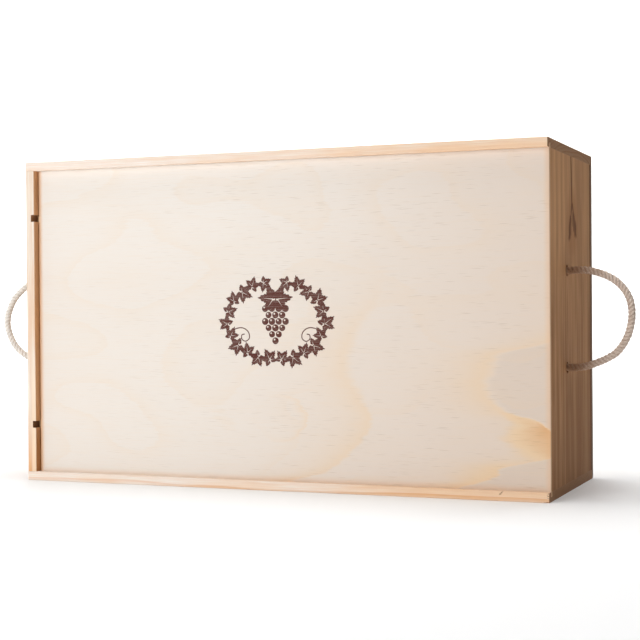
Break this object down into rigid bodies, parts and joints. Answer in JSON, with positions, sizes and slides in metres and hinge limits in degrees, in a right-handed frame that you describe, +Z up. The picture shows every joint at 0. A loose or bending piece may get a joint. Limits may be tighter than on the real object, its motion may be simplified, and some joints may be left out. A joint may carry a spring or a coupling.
{
  "type": "wooden wine box",
  "caption": "Shallow pine box with a plywood lid that slides in grooves, rope loop handles at both ends and scalloped cradles inside that hold bottles lying crosswise.",
  "frame": {"origin": "middle of the face that the box stands on, the outer face of its lower long side", "axes": "+X along the box towards the end that the lid slides out of, +Y from the lid to the bottom panel, +Z up across the box's width"},
  "size_m": [0.6782, 0.2, 0.33],
  "materials": {
    "pine_board": "sawn and planed bare pine, matt",
    "plywood": "rotary-cut pine plywood, bare and matt",
    "cradle_wood": "sawn softwood, rough and matt",
    "rope": "twisted natural fibre rope, fuzzy",
    "nail_steel": "bare wire nails, dull"
  },
  "bodies": {
    "box": {"long_side_lower": "pine_board", "long_side_upper": "pine_board", "end_board_left": "pine_board", "end_board_right": "pine_board", "bottom_panel": "plywood", "cradle_lower_back": "cradle_wood", "cradle_lower_middle": "cradle_wood", "cradle_lower_front": "cradle_wood", "cradle_upper_back": "cradle_wood", "cradle_upper_middle": "cradle_wood", "cradle_upper_front": "cradle_wood", "rope_ends_left": "rope", "rope_ends_right": "rope", "corner_nails_lower": "nail_steel", "corner_nails_upper": "nail_steel", "bottom_nails": "nail_steel"},
    "lid": {"lid": "plywood"},
    "handle_left": {"rope_loop_left": "rope"},
    "handle_right": {"rope_loop_right": "rope"}
  },
  "joints": [
    {"name": "lid_slide", "type": "slide", "parent": "box", "child": "lid", "axis": [1, 0, 0], "range_m": [0, 0.52]},
    {"name": "handle_left_swing", "type": "hinge", "parent": "box", "child": "handle_left", "pos_m": [-0.2788, -0.02, 0.165], "axis": [0, 0, 1], "range_deg": [-105, 55]},
    {"name": "handle_right_swing", "type": "hinge", "parent": "box", "child": "handle_right", "pos_m": [0.2788, -0.02, 0.165], "axis": [0, 0, 1], "range_deg": [-80, 80]}
  ]
}
